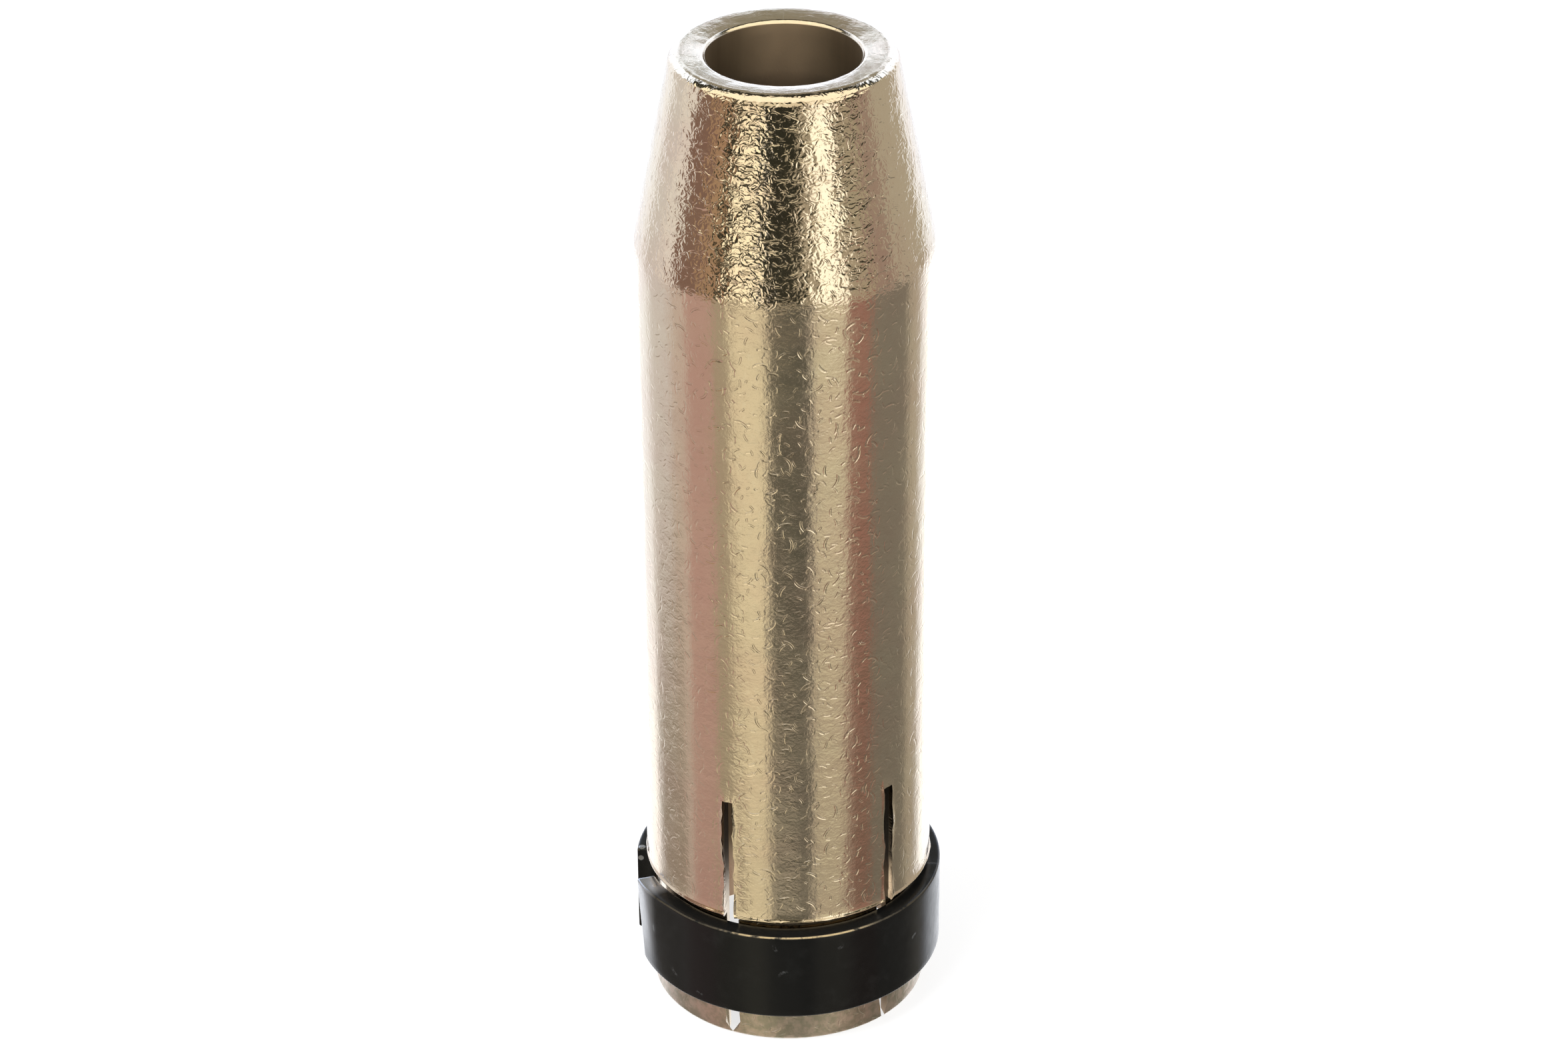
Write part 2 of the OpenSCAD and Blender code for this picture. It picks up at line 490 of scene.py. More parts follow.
def ring_faces(rows, columns):
    """The faces round the band and over its two ends, and their bake maps."""
    count = len(rows)
    faces, maps = [], []
    for i in range(count):
        here, above = i * columns, ((i + 1) % count) * columns
        low, high = RING_MAP_TOP * i / count, RING_MAP_TOP * (i + 1) / count
        for j in range(columns - 1):
            faces.append((here + j, here + j + 1, above + j + 1, above + j))
            left, right = j / columns, (j + 1) / columns
            maps.append(((left, low), (right, low), (right, high), (left, high)))
    for side, column in enumerate((0, columns - 1)):
        order = list(range(count)) if side else list(range(count))[::-1]
        faces.append(tuple(i * columns + column for i in order))
        spots = []
        for i in order:
            r, z, kind = rows[i]
            spots.append((0.4 * side + 0.2 * (r - RING_IN_R), 0.92 + 0.009 * (z - RING_BOTTOM)))
        maps.append(tuple(spots))
    return faces, maps


def ring_mesh():
    """The band as a closed strip of rows round its section and columns along it."""
    rows = ring_rows()
    angles = ring_angles()
    faces, maps = ring_faces(rows, len(angles))
    kinds = []
    for r, z, kind in rows:
        for j in range(len(angles)):
            at_end = j < RING_END_COLUMNS and kind in OUTER_KINDS + ("top",)
            kinds.append("end_" + kind if at_end else kind)
    return ring_points(rows, angles), faces, maps, kinds, {}


def make_piece(name, built, masks, sharp_angle):
    """A mesh object from (points, faces, maps, kinds, cuts). kinds has a kind for each point, and cuts
    has one for single faces, which goes first. masks gives, for each named attribute, how strongly
    it marks each kind."""
    points, faces, maps, kinds, cuts = built
    mesh = bpy.data.meshes.new(name)
    mesh.from_pydata([Vector(p) * MM for p in points], [], faces)
    layer = mesh.uv_layers.new(name="OFBake")
    layer.uv.foreach_set("vector", [value for face in maps for corner in face for value in corner])
    for mask, strengths in masks.items():
        levels = []
        for index, face in enumerate(faces):
            levels += [strengths.get(cuts.get(index, kinds[point]), 0.0) for point in face]
        values = mesh.attributes.new(mask, "FLOAT", "CORNER")
        values.data.foreach_set("value", levels)
    mesh.shade_smooth()
    mesh.set_sharp_from_angle(angle=math.radians(sharp_angle))
    mesh.validate()
    mesh.update()
    return linked(bpy.data.objects.new(name, mesh))


# ================================================================ shader helpers
class Shader:
    """A node tree written as calls: each method adds one node and returns its output."""

    def __init__(self, tree):
        self.tree = tree
        tree.nodes.clear()

    def node(self, kind, values=(), **settings):
        made = self.tree.nodes.new(kind)
        for name, value in settings.items():
            setattr(made, name, value)
        for slot, value in dict(values).items():
            self.put(made.inputs[slot], value)
        return made

    def put(self, socket, value):
        if isinstance(value, bpy.types.NodeSocket):
            self.tree.links.new(value, socket)
        else:
            socket.default_value = value

    def math(self, operation, *values, clamp=False):
        sockets = enumerate(values)
        made = self.node("ShaderNodeMath", sockets, operation=operation, use_clamp=clamp)
        return made.outputs[0]

    def vector(self, operation, first, second=None, scale=None):
        made = self.node("ShaderNodeVectorMath", operation=operation)
        self.put(made.inputs[0], first)
        if second is not None:
            self.put(made.inputs[1], second)
        if scale is not None:
            self.put(made.inputs["Scale"], scale)
        gives_value = operation in ("LENGTH", "DISTANCE", "DOT_PRODUCT")
        return made.outputs["Value" if gives_value else "Vector"]

    def steps(self, value, low, high, to_low=0.0, to_high=1.0):
        """A soft step of value: to_low up to low, and to_high from high on."""
        sockets = {
            "Value": value, "From Min": low, "From Max": high,
            "To Min": to_low, "To Max": to_high,
        }
        made = self.node("ShaderNodeMapRange", sockets, interpolation_type="SMOOTHSTEP")
        return made.outputs[0]

    def mix(self, share, first, second, blend="MIX"):
        made = self.node("ShaderNodeMix", data_type="RGBA", blend_type=blend)
        self.put(made.inputs[0], share)
        self.put(made.inputs[6], first)
        self.put(made.inputs[7], second)
        return made.outputs[2]

    def noise(self, place, size, detail=2.0, rough=0.5, bend=0.0):
        """Noise from 0 to 1 with features of about size, in the units of place."""
        sockets = {
            "Vector": place, "Scale": 1 / size,
            "Detail": detail, "Roughness": rough, "Distortion": bend,
        }
        return self.node("ShaderNodeTexNoise", sockets).outputs["Fac"]

    def attribute(self, name):
        return self.node("ShaderNodeAttribute", attribute_name=name).outputs["Fac"]

    def place_mm(self):
        """The surface point in the part's own frame, in millimetres."""
        place = self.node("ShaderNodeTexCoord").outputs["Object"]
        return self.vector("SCALE", place, scale=1000.0)

    def bump(self, height, distance, strength=1.0, normal=None):
        sockets = {"Height": height, "Distance": distance * MM, "Strength": strength}
        if normal is not None:
            sockets["Normal"] = normal
        return self.node("ShaderNodeBump", sockets).outputs["Normal"]


def grey(level):
    return (level, level, level, 1.0)


def unrolled(shader, place, radius):
    """The surface unrolled from its front, as (way round, height, 0) in millimetres, and the height."""
    parts = shader.node("ShaderNodeSeparateXYZ", {0: place}).outputs
    turn = shader.math("ARCTAN2", parts["X"], shader.math("MULTIPLY", parts["Y"], -1.0))
    sockets = {"X": shader.math("MULTIPLY", turn, radius), "Y": parts["Z"]}
    return shader.node("ShaderNodeCombineXYZ", sockets).outputs[0], parts["Z"]


def ringwise(shader, place, radius, stretch):
    """The rim seen from above, unrolled as (way round, distance from the axis, 0) in millimetres, with
    the way round shortened by stretch, so that noise on it runs along the rim."""
    parts = shader.node("ShaderNodeSeparateXYZ", {0: place}).outputs
    turn = shader.math("ARCTAN2", parts["X"], shader.math("MULTIPLY", parts["Y"], -1.0))
    out = shader.vector("LENGTH", shader.vector("MULTIPLY", place, (1, 1, 0)))
    sockets = {"X": shader.math("MULTIPLY", turn, radius / stretch), "Y": out, "Z": parts["Z"]}
    return shader.node("ShaderNodeCombineXYZ", sockets).outputs[0]


def creases(shader, place, size, bend):
    """Thin winding valleys, at 0 along their floors and up to about 0.6 between them."""
    level = shader.noise(place, size, 1.0, 0.5, bend)
    away = shader.math("ABSOLUTE", shader.math("SUBTRACT", level, 0.5))
    return shader.math("MULTIPLY", away, 2.0)


def nicks(shader, flat, cell, length, width, share):
    """Short curved nicks, one in some cells of a loose grid, each turned its own way: 1 in a nick."""
    sockets = {"Vector": flat, "Scale": 1 / cell, "Randomness": 0.9}
    cells = shader.node("ShaderNodeTexVoronoi", sockets, voronoi_dimensions="2D")
    local = shader.vector("SUBTRACT", flat, cells.outputs["Position"])
    dice = shader.node("ShaderNodeSeparateColor", {0: cells.outputs["Color"]}).outputs
    angle = shader.math("MULTIPLY", dice[0], 2 * math.pi)
    sockets = {"Vector": local, "Angle": angle}
    turned = shader.node("ShaderNodeVectorRotate", sockets, rotation_type="Z_AXIS")
    parts = shader.node("ShaderNodeSeparateXYZ", {0: turned.outputs[0]}).outputs
    bow = shader.math("MULTIPLY", shader.math("POWER", parts["X"], 2.0), 0.5)
    aside = shader.math("ABSOLUTE", shader.math("ADD", parts["Y"], bow))
    along = shader.math("ABSOLUTE", parts["X"])
    reach = shader.math("MULTIPLY_ADD", dice[1], 0.6 * length, 0.4 * length)
    thin = shader.steps(aside, 0.3 * width, width, 1.0, 0.0)
    short = shader.steps(shader.math("DIVIDE", along, reach), 0.4, 1.0, 1.0, 0.0)
    present = shader.math("LESS_THAN", dice[2], share)
    return shader.math("MULTIPLY", shader.math("MULTIPLY", thin, short), present)


# ================================================================ materials
NICKEL = (0.75, 0.645, 0.495, 1)
NICKEL_ROSE = (0.73, 0.60, 0.47, 1)
NICKEL_PALE = (0.80, 0.72, 0.58, 1)
LIP_DULL = (0.64, 0.53, 0.44, 1)
LIP_OLIVE = (0.44, 0.40, 0.31, 1)
SOCKET_METAL = (0.86, 0.74, 0.58, 1)
# Painted light in the outlet.
BORE_PAINTED_LIGHT = (0.62, 0.48, 0.34, 1)
# Painted shade on the sawn walls.
SLOT_PAINTED_SHADE = (0.045, 0.036, 0.025, 1)
RIM_DULL = (0.50, 0.455, 0.35, 1)
BARE_BROWN = (0.26, 0.20, 0.135, 1)
BARE_DARK = (0.22, 0.168, 0.113, 1)
BLACK_OXIDE = (0.008, 0.008, 0.0075, 1)
BLACK_DUSTY = (0.022, 0.022, 0.021, 1)
# The ring's bronze top edge, partly wear and partly a painted highlight.
WORN_HIGHLIGHT_BRONZE = (0.50, 0.40, 0.26, 1)
# Bare steel of the ring, also used for its painted sheen and painted glints.
RUBBED_AND_GLINT_STEEL = (0.50, 0.50, 0.51, 1)
SCUFF_GREY = grey(0.12)

# Soft edges of the nozzle's finishes, each as (start, end) in millimetres. The rim and the plating end
# at a distance from the axis, and the cone starts at a height.
RIM_EDGE = (RIM_CREST_R + 0.25, RIM_CREST_R + 0.50)
INNER_EDGE = (BODY_R - 0.5, BODY_R - 0.3)
CONE_EDGE = (CONE_Z - 1.5, CONE_Z + 0.5)

# Heat has browned the bare metal from this height up, and the bright metal left below it is partly
# painted light from below. That edge starts lower to the right, by a set share of the way across, as
# painted shade on that side, and higher on the left cut faces, as painted light on them. In the outlet a
# painted pool of light runs up the middle as a tan streak, and painted shade lies high up on the sawn
# walls.
HEAT_AND_LIGHT_EDGE = (1.0, 5.5)
LIGHT_LEAN = 0.35
LIT_FACE_RISE = 12.0
LIT_STREAK_EDGE = (0.4, 5.2)
LIT_STREAK_START = (60.0, 66.0)
SLOT_SHADE_START = (13.5, 16.5)

# The front of the tube is worked more than its sides: where that front's middle lies along the
# surface, how far it reaches, and what is left of the marks beyond.
WORKED_MIDDLE = 1.0
WORKED_EDGE = (5.0, 8.5)
WORKED_LEFT = 0.55

# Nicks, as (cell, length, width, share of the cells with a nick).
SMALL_NICKS = (0.95, 0.50, 0.11, 0.75)
LARGE_NICKS = (1.8, 0.85, 0.13, 0.6)
RING_SCUFFS = (3.2, 0.8, 0.2, 0.35)

# The ring: the front of its bronze top edge, partly wear and partly a painted highlight, and the patch
# of painted sheen by its near end, both along the surface, and painted glints, small bare steel spots,
# as (place, size).
WORN_HIGHLIGHT_MIDDLE = 0.8
WORN_HIGHLIGHT_EDGE = (4.0, 7.5)
NEAR_SHEEN_START = (-19.0, -18.0)
NEAR_SHEEN_END = (-15.4, -13.2)
NEAR_SHEEN_HEIGHT = (RING_TOP - 9, RING_TOP - 3)
NEAR_SHEEN_STRENGTH = 0.8
PAINTED_GLINTS = (((-11.3, -5.05, 11.3), 0.32), ((-12.5, 0.8, 11.3), 0.34), ((-12.6, 0.5, 10.4), 0.28))


def nickel_regions(s, place, z, across):
    """Where each finish of the nozzle lies: sockets that are 1 inside it and 0 outside."""
    radius = s.vector("LENGTH", s.vector("MULTIPLY", place, (1, 1, 0)))
    rim = s.steps(radius, *RIM_EDGE, 1.0, 0.0)
    cone = s.math("MULTIPLY", s.steps(z, *CONE_EDGE), s.math("SUBTRACT", 1.0, rim))
    inner = s.steps(radius, *INNER_EDGE, 1.0, 0.0)
    bare = s.math("MULTIPLY_ADD", s.attribute("sawn"), inner, s.attribute("bare"))
    outside = s.math("SUBTRACT", 1.0, bare)
    # Painted light and shade: the bright metal below the heat's edge reaches higher on the left and on
    # the left cut faces.
    lowered = s.math("MULTIPLY_ADD", s.attribute("scraped"), -LIT_FACE_RISE, z)
    depth = s.math("MULTIPLY_ADD", across, LIGHT_LEAN, lowered)
    beyond_tube = s.math("SUBTRACT", 1.0, s.math("MAXIMUM", cone, rim))
    return {
        "bare": bare,
        "outside": outside,
        "heated": s.math("MULTIPLY", bare, s.steps(depth, *HEAT_AND_LIGHT_EDGE)),
        "tail": s.attribute("tail"),
        "tube": s.math("MULTIPLY", outside, beyond_tube),
        "cone": s.math("MULTIPLY", outside, cone),
        "rim": s.math("MULTIPLY", outside, rim),
    }


def nickel_colour(s, place, flat, z, across, region):
    """Warm nickel, a duller tail and rim, turned metal in the socket and brown from heat above it, with
    painted light low inside, on the left and up the outlet, and painted shade high on the sawn walls.
    """
    tint = s.noise(place, 6.0, 3.0, 0.55)
    colour = s.mix(s.steps(tint, 0.35, 0.7), NICKEL, NICKEL_ROSE)
    fine = s.noise(place, 0.5, 3.0, 0.6)
    colour = s.mix(s.math("MULTIPLY", s.steps(fine, 0.5, 0.75), 0.35), colour, NICKEL_PALE)
    mottle = s.steps(s.noise(place, 0.8, 3.0, 0.6), 0.35, 0.65)
    colour = s.mix(region["tail"], colour, s.mix(mottle, LIP_DULL, LIP_OLIVE))
    colour = s.mix(region["bare"], colour, SOCKET_METAL)

    turned = s.vector("MULTIPLY", flat, (0.6, 0.08, 1.0))
    brown = s.mix(s.steps(s.noise(turned, 1.8, 3.0, 0.6), 0.35, 0.7), BARE_BROWN, BARE_DARK)
    # A painted pool of light: the outlet's wall turns tan up its middle.
    painted_streak = s.steps(s.math("ABSOLUTE", across), *LIT_STREAK_EDGE, 1.0, 0.0)
    painted_streak = s.math("MULTIPLY", painted_streak, s.steps(z, *LIT_STREAK_START))
    brown = s.mix(painted_streak, brown, BORE_PAINTED_LIGHT)
    colour = s.mix(region["heated"], colour, brown)
    # Painted shade: the sawn walls darken high up, the right ones fully and the left ones by half.
    painted_shade = s.math("MULTIPLY", s.attribute("sooty"), s.steps(z, *SLOT_SHADE_START))
    colour = s.mix(painted_shade, colour, SLOT_PAINTED_SHADE)

    grained = ringwise(s, place, RIM_CREST_R, 4.0)
    dull = s.steps(s.noise(grained, 0.45, 3.0, 0.65), 0.42, 0.62)
    dull = s.math("MULTIPLY", region["rim"], s.math("MULTIPLY", dull, 0.2))
    return s.mix(dull, colour, RIM_DULL)


def nickel_normal(s, place, flat, region):
    """Crinkles on the cone, nicks and drawing lines on the tube, and wrinkles along the rim."""
    flattened = s.vector("MULTIPLY", place, (1.0, 1.0, 1.3))
    worms = s.noise(flattened, 0.45, 1.0, 0.5, 0.6)
    folds = creases(s, flattened, 0.75, 0.9)
    small = nicks(s, flat, *SMALL_NICKS)
    large = nicks(s, flat, *LARGE_NICKS)
    wrinkles = s.noise(ringwise(s, place, RIM_CREST_R, 3.0), 0.32, 2.0, 0.5, 0.3)
    drawn = s.noise(s.vector("MULTIPLY", flat, (1.0, 0.04, 1.0)), 0.45, 2.0, 0.6)

    way = s.node("ShaderNodeSeparateXYZ", {0: flat}).outputs["X"]
    aside = s.math("ABSOLUTE", s.math("SUBTRACT", way, WORKED_MIDDLE))
    worked = s.math("MULTIPLY", region["tube"], s.steps(aside, *WORKED_EDGE, 1.0, WORKED_LEFT))
    worm_depth = s.math("MULTIPLY_ADD", region["cone"], 0.70, s.math("MULTIPLY", worked, 0.26))
    fold_depth = s.math("MULTIPLY_ADD", region["cone"], 0.85, s.math("MULTIPLY", worked, 0.16))

    normal = s.bump(s.noise(place, 1.3, 2.0, 0.5), 0.05, s.math("MULTIPLY", region["outside"], 0.5))
    normal = s.bump(worms, 0.022, worm_depth, normal)
    normal = s.bump(folds, 0.052, fold_depth, normal)
    normal = s.bump(drawn, 0.005, region["tube"], normal)
    normal = s.bump(small, -0.0115, worked, normal)
    normal = s.bump(large, -0.016, worked, normal)
    normal = s.bump(wrinkles, 0.015, region["rim"], normal)
    return s.bump(s.noise(place, 0.20, 2.0, 0.6), 0.007, 1.0, normal)


def nickel_roughness(s, place, region):
    """Bright outside, duller on the tail, in the socket and most of all where heat has reached."""
    roughness = s.steps(s.noise(place, 2.6, 3.0, 0.6), 0.3, 0.7, 0.13, 0.19)
    roughness = s.math("ADD", roughness, s.math("MULTIPLY", region["bare"], 0.12))
    roughness = s.math("ADD", roughness, s.math("MULTIPLY", region["heated"], 0.26))
    roughness = s.math("ADD", roughness, s.math("MULTIPLY", region["tail"], 0.20))
    return s.math("SUBTRACT", roughness, s.math("MULTIPLY", region["cone"], 0.04))


def nickel_material():
    """Bright nickel over a crinkled cone and a nicked tube. Inside, the socket is plain turned metal,
    and the rest is brown from heat, with painted light low down and up the outlet and painted shade high
    in the slots."""
    material = bpy.data.materials.new("nickel_plate")
    material.use_nodes = True
    s = Shader(material.node_tree)
    place = s.place_mm()
    flat, z = unrolled(s, place, BODY_R)
    across = s.node("ShaderNodeSeparateXYZ", {0: place}).outputs["X"]
    region = nickel_regions(s, place, z, across)
    shader = s.node("ShaderNodeBsdfPrincipled", {
        "Base Color": nickel_colour(s, place, flat, z, across, region),
        "Roughness": nickel_roughness(s, place, region),
        "Normal": nickel_normal(s, place, flat, region),
        "Metallic": s.math("SUBTRACT", 1.0, s.math("MULTIPLY", region["heated"], 0.1)),
    })
    s.node("ShaderNodeOutputMaterial", {"Surface": shader.outputs[0]})
    return material


def scuffed_normal(s, place, scuff):
    """The ring's satin grain and its scuffs."""
    normal = s.bump(s.noise(place, 0.9, 3.0, 0.6), 0.010, 0.6)
    normal = s.bump(s.noise(place, 0.2, 2.0, 0.6), 0.0025, 0.8, normal)
    return s.bump(scuff, -0.012, 0.8, normal)


def worn_highlit_top(s, place, way):
    """Where the ring's top edge is bronze, mostly in front: partly wear and partly a painted highlight.
    """
    front = s.steps(s.math("ABSOLUTE", s.math("SUBTRACT", way, WORN_HIGHLIGHT_MIDDLE)), *WORN_HIGHLIGHT_EDGE, 1.0, 0.0)
    worn_highlight = s.steps(s.noise(place, 1.6, 4.0, 0.7), 0.36, 0.52)
    worn_highlight = s.math("MULTIPLY", worn_highlight, s.math("MULTIPLY_ADD", front, 0.85, 0.10))
    return s.math("MULTIPLY", worn_highlight, s.attribute("edge"))


def rubbed_and_glints(s, place, way, z):
    """Where the ring shows bare steel and painted light: rubbed at its near end, partly wear and partly
    painted glints, a painted sheen in a patch before that end, and painted glints in small spots.
    """
    at_end = s.steps(s.noise(place, 0.9, 3.0, 0.6), 0.36, 0.50)
    rubbed_and_lit = s.math("MULTIPLY", s.attribute("end"), at_end)
    # A painted sheen: the outer face just before the near end turns light steel.
    before_end = s.steps(way, *NEAR_SHEEN_END, 1.0, 0.0)
    near_sheen = s.math("MULTIPLY", before_end, s.steps(way, *NEAR_SHEEN_START))
    near_sheen = s.math("MULTIPLY", near_sheen, s.steps(z, *NEAR_SHEEN_HEIGHT))
    rubbed_and_lit = s.math("MAXIMUM", rubbed_and_lit, s.math("MULTIPLY", near_sheen, NEAR_SHEEN_STRENGTH))
    # Painted glints: small bare steel spots where highlights stand on the ring's top and far end.
    for glint_spot, size in PAINTED_GLINTS:
        away = s.vector("DISTANCE", place, glint_spot)
        rubbed_and_lit = s.math("MAXIMUM", rubbed_and_lit, s.steps(away, 0.6 * size, size, 1.0, 0.0))
    return rubbed_and_lit


def black_material():
    """Blackened spring steel, satin and scuffed here and there, with a bronze top edge that is partly
    wear and partly a painted highlight, a painted sheen by its near end and painted glints.
    """
    material = bpy.data.materials.new("black_steel")
    material.use_nodes = True
    s = Shader(material.node_tree)
    place = s.place_mm()
    flat, z = unrolled(s, place, RING_OUT_R)
    way = s.node("ShaderNodeSeparateXYZ", {0: flat}).outputs["X"]
    scuff = nicks(s, flat, *RING_SCUFFS)
    scuff = s.math("MULTIPLY", scuff, s.steps(s.noise(place, 0.35, 3.0, 0.7), 0.42, 0.6))
    worn_highlight = worn_highlit_top(s, place, way)
    rubbed_and_lit = rubbed_and_glints(s, place, way, z)

    dust = s.steps(s.noise(place, 2.4, 4.0, 0.65), 0.5, 0.8)
    colour = s.mix(s.math("MULTIPLY", dust, 0.5), BLACK_OXIDE, BLACK_DUSTY)
    colour = s.mix(s.math("MULTIPLY", scuff, 0.5), colour, SCUFF_GREY)
    # Bronze top edge, mostly in front: partly wear, partly a painted highlight.
    colour = s.mix(worn_highlight, colour, WORN_HIGHLIGHT_BRONZE)
    colour = s.mix(rubbed_and_lit, colour, RUBBED_AND_GLINT_STEEL)
    roughness = s.steps(s.noise(place, 1.1, 4.0, 0.6), 0.3, 0.7, 0.18, 0.26)
    shader = s.node("ShaderNodeBsdfPrincipled", {
        "Base Color": colour,
        "Metallic": s.math("MAXIMUM", worn_highlight, rubbed_and_lit),
        "Roughness": roughness,
        "Normal": scuffed_normal(s, place, scuff),
        "Specular IOR Level": 0.22,
    })
    s.node("ShaderNodeOutputMaterial", {"Surface": shader.outputs[0]})
    return material


# ================================================================ studio
WHITE = (1.0, 1.0, 1.0, 1)
WALL = (1.15, 1.21, 1.33, 1)
GLARE = (1.90, 1.95, 2.05, 1)
SOFTBOX = (1.45, 1.66, 2.05, 1)
IVORY = (0.95, 0.94, 0.95, 1)
PEARL = (0.78, 0.77, 0.80, 1)
SAND = (0.70, 0.62, 0.58, 1)
ROSE = (0.60, 0.42, 0.39, 1)
OLIVE = (0.48, 0.43, 0.33, 1)
CREAM = (0.96, 0.88, 0.66, 1)
KHAKI = (0.76, 0.72, 0.55, 1)
BUTTER = (1.55, 1.42, 1.10, 1)
MILK = (1.62, 1.58, 1.40, 1)
RUST = (0.38, 0.21, 0.18, 1)
TAN = (0.47, 0.32, 0.21, 1)
UMBER = (0.26, 0.17, 0.14, 1)
BROWN = (0.40, 0.31, 0.27, 1)
TAUPE = (0.25, 0.235, 0.205, 1)
STONE = (0.52, 0.48, 0.40, 1)
DUSK = (0.42, 0.37, 0.32, 1)
CLAY = (0.60, 0.54, 0.43, 1)
SOOT = (0.10, 0.10, 0.083, 1)
INK = (0.035, 0.035, 0.025, 1)
SLATE = (0.33, 0.315, 0.26, 1)
LAMP = (1.5, 1.42, 1.15, 1)
TABLE = (1.0, 0.98, 0.92, 1)

# Cards that stand round the object: (colour, azimuth of its middle, half its width, soft edge, lowest
# and highest elevation), in degrees. Azimuth 0 is at the camera and positive to the camera's right.
# The tube mirrors what lies below LOW, its tail what lies below LOWER, and the cone what lies above
# LOW. Later cards cover earlier ones.
GROUND, LOWEST, LOWER, LOW, TOP = -90, -34, -32, -21, 90
CARDS = (
    (PEARL, 0, 122, 12, GROUND, TOP),
    (SAND, 0, 92, 12, GROUND, LOW),
    (ROSE, -67, 13, 4, GROUND, LOW),
    (OLIVE, -49, 6, 4, GROUND, LOW),
    (STONE, 109, 13, 6, GROUND, LOW),
    (TAUPE, 80, 24, 8, GROUND, LOW),
    (RUST, 58, 8, 5, GROUND, LOW),
    (CREAM, -28, 11, 8, GROUND, LOW),
    (KHAKI, 34, 9, 8, GROUND, LOW),
    (SOOT, 3, 12, 9, GROUND, LOW),
    (TAUPE, 3, 9, 10, GROUND, LOWER),
    (STONE, -3, 7, 10, GROUND, LOWEST),
    (DUSK, -106, 13, 6, GROUND, LOWER + 1),
    (OLIVE, -41, 5, 4, GROUND, LOWEST),
    (CLAY, 35, 10, 6, GROUND, LOWER + 1),
    (BROWN, 52, 4, 4, GROUND, LOWER + 1),
    (UMBER, 62, 6, 5, GROUND, LOWER + 1),
    (STONE, 104, 20, 15, LOW, TOP),
    (BROWN, 76, 9, 5, LOW, TOP),
    (OLIVE, 55, 11, 4, LOW, TOP),
    (OLIVE, 18, 9, 4, LOW, TOP),
    (MILK, 34, 8, 4, LOW, TOP),
    (IVORY, -99, 6, 4, LOW, TOP),
    (UMBER, -76, 12, 4, LOW, TOP),
    (TAN, -56, 8, 3, LOW, TOP),
    (BUTTER, -32, 11, 4, LOW, TOP),
    (INK, -47, 4, 2, LOW, TOP),
    (INK, -3, 12, 4, LOW, TOP),
    (INK, -16, 30, 6, -1, TOP),
    (INK, 56, 14, 6, -1, TOP),
    (OLIVE, -20, 25, 6, -23, -15),
    (GLARE, 174, 32, 8, GROUND, -25),
    (GLARE, -150, 16, 8, GROUND, LOWER),
    (GLARE, 150, 14, 8, GROUND, LOWER),
    (SOFTBOX, 180, 30, 15, -6, TOP),
)
CEILING = 13

# Half the soft edge of the ceiling, of the strips, and of the foot and top of a card, in degrees.
EDGE_SOFT = 2

# Overhead, a slate panel hangs between two soft boxes. Half its width, as the sideways part of the
# direction, is PANEL_LOW at first, PANEL_NARROW past PANEL_CLOSES, and grows by PANEL_HIGH over
# PANEL_OPENS, both of them elevations in degrees. Past SOFTBOX_HALF on either side all is stone grey.
PANEL_LOW = 0.09
PANEL_NARROW = -0.01
PANEL_HIGH = 0.30
PANEL_CLOSES = (18, 22)
PANEL_OPENS = (27, 32)
PANEL_SOFT = 0.03
SOFTBOX_HALF = 0.8
SOFTBOX_SOFT = 0.1

# Strips that run from left to right overhead, in front of the panel and the boxes: (colour, start,
# end), in degrees up from the front horizon and over to the rear one.
STRIPS = (
    (INK, 98, 126),
    (LAMP, 30, 98),
    (CREAM, 0, 30),
)

# Below these elevations, in degrees: a shade that leaves this share of the light, and the table.
SHADE = 0.79
SHADE_EDGE = (-34.5, -30.5)
TABLE_EDGE = (-62, -50)

# How bright the studio is for matt surfaces, the floor's own grey, its glow for the camera, and half
# its width in metres.
MATT_GREY = 0.55
FLOOR_GREY = 0.35
FLOOR_GLOW = 0.74
FLOOR_HALF = 1.5


def window(shader, value, middle, half, soft):
    """1 within half of the middle, falling to 0 over the soft edge. All in degrees of turn."""
    away = shader.math("SUBTRACT", value, middle)
    away = shader.math("PINGPONG", away, 180.0)
    return shader.steps(away, half, half + soft, 1.0, 0.0)


def between(shader, value, low, high, soft):
    """1 from low to high, falling to 0 over a soft edge at each."""
    after = shader.steps(value, low - soft, low + soft)
    before = shader.steps(value, high - soft, high + soft, 1.0, 0.0)
    return shader.math("MULTIPLY", after, before)


def walls(s, azimuth, height):
    """The white walls, with the cards in front of them."""
    colour = WALL
    for card, middle, half, soft, lowest, highest in CARDS:
        share = window(s, azimuth, middle, half, soft)
        if lowest > GROUND:
            rising = s.steps(height, lowest - EDGE_SOFT, lowest + EDGE_SOFT)
            share = s.math("MULTIPLY", share, rising)
        if highest < TOP:
            falling = s.steps(height, highest - EDGE_SOFT, highest + EDGE_SOFT, 1.0, 0.0)
            share = s.math("MULTIPLY", share, falling)
        colour = s.mix(share, colour, card)
    return colour


def ceiling(s, aside, over, height):
    """The slate panel between its soft boxes, and the strips in front of them."""
    panel = s.steps(height, *PANEL_CLOSES, PANEL_LOW, PANEL_NARROW)
    panel = s.math("ADD", panel, s.steps(height, *PANEL_OPENS, 0.0, PANEL_HIGH))
    colour = s.mix(s.steps(aside, panel, s.math("ADD", panel, PANEL_SOFT)), SLATE, SOFTBOX)
    colour = s.mix(s.steps(aside, SOFTBOX_HALF, SOFTBOX_HALF + SOFTBOX_SOFT), colour, STONE)
    for strip, start, end in STRIPS:
        colour = s.mix(between(s, over, start, end, EDGE_SOFT), colour, strip)
    return colour


